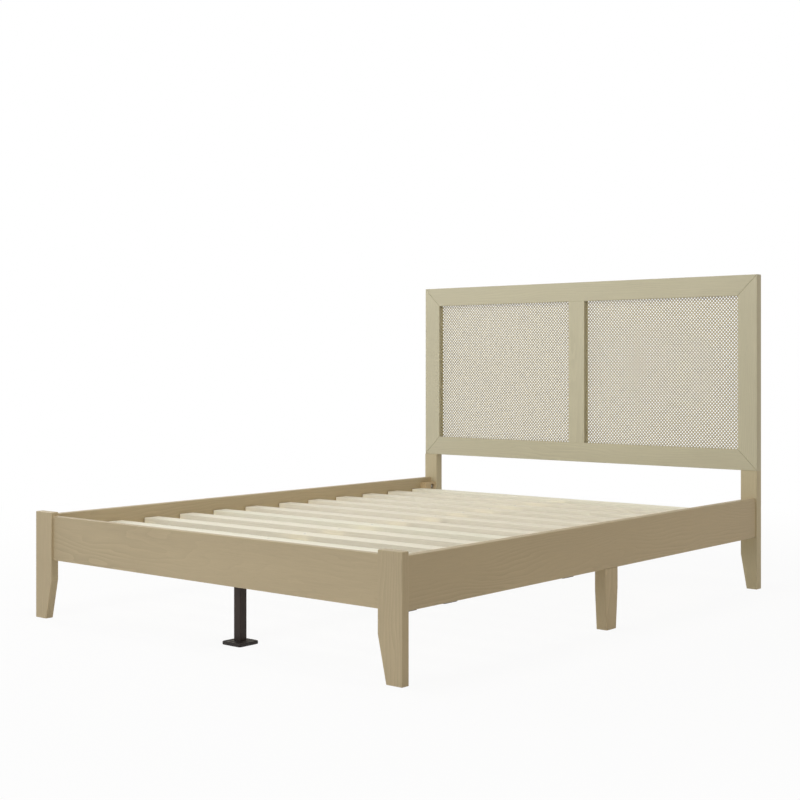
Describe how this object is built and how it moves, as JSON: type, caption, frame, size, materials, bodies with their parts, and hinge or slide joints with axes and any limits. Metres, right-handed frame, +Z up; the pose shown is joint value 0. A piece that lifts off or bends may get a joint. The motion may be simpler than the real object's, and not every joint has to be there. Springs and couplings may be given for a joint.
{
  "type": "platform bed",
  "caption": "Platform bed with slatted deck, tapered posts and legs, and a tall headboard of framed woven cane panels.",
  "frame": {"origin": "on the floor under the middle of the bed", "axes": "+Z up, +Y towards the head end, +X to the right of someone standing at the foot end and looking at the headboard"},
  "size_m": [1.6, 2.112, 1.184],
  "materials": {
    "stained_wood": "light greige stain, satin",
    "raw_wood": "bare, planed",
    "cane": "natural, woven",
    "dark_steel": "satin powder coat",
    "dark_plastic": "moulded",
    "zinc_steel": "zinc plated"
  },
  "bodies": {
    "bed": {"beam_foot_bracket": "dark_steel", "beam_splice_plate": "dark_steel", "cane_panel_left": "cane", "cane_panel_right": "cane", "centre_beam_front": "raw_wood", "centre_beam_rear": "raw_wood", "centre_leg_1": "dark_steel", "centre_leg_2": "dark_steel", "centre_leg_3": "dark_steel", "centre_leg_4": "dark_steel", "centre_leg_bolts": "zinc_steel", "corner_block_foot_left": "raw_wood", "corner_block_foot_right": "raw_wood", "corner_block_head_left": "raw_wood", "corner_block_head_right": "raw_wood", "crescent_washers": "zinc_steel", "dowels": "raw_wood", "foot_post_left": "stained_wood", "foot_post_right": "stained_wood", "foot_rail": "stained_wood", "hanger_bolts": "zinc_steel", "hanger_nuts": "zinc_steel", "headboard_bottom_rail": "stained_wood", "headboard_leg_left": "stained_wood", "headboard_leg_right": "stained_wood", "headboard_mullion": "stained_wood", "headboard_stile_left": "stained_wood", "headboard_stile_right": "stained_wood", "headboard_top_rail": "stained_wood", "leg_end_plugs": "dark_plastic", "leg_joining_plates": "dark_steel", "mid_leg_left": "stained_wood", "mid_leg_right": "stained_wood", "panel_beads": "stained_wood", "side_rail_left": "stained_wood", "side_rail_right": "stained_wood", "slat_01": "raw_wood", "slat_02": "raw_wood", "slat_03": "raw_wood", "slat_04": "raw_wood", "slat_05": "raw_wood", "slat_06": "raw_wood", "slat_07": "raw_wood", "slat_08": "raw_wood", "slat_09": "raw_wood", "slat_10": "raw_wood", "slat_11": "raw_wood", "slat_12": "raw_wood", "slat_ledger_left": "raw_wood", "slat_ledger_right": "raw_wood", "slat_screws": "zinc_steel", "wood_screws": "zinc_steel"},
    "foot_1": {"levelling_foot_1": "dark_plastic"},
    "foot_2": {"levelling_foot_2": "dark_plastic"},
    "foot_3": {"levelling_foot_3": "dark_plastic"},
    "foot_4": {"levelling_foot_4": "dark_plastic"}
  },
  "joints": [
    {"name": "foot_1_screw", "type": "slide", "parent": "bed", "child": "foot_1", "axis": [0, 0, -1], "range_m": [0, 0.012]},
    {"name": "foot_2_screw", "type": "slide", "parent": "bed", "child": "foot_2", "axis": [0, 0, -1], "range_m": [0, 0.012]},
    {"name": "foot_3_screw", "type": "slide", "parent": "bed", "child": "foot_3", "axis": [0, 0, -1], "range_m": [0, 0.012]},
    {"name": "foot_4_screw", "type": "slide", "parent": "bed", "child": "foot_4", "axis": [0, 0, -1], "range_m": [0, 0.012]}
  ]
}
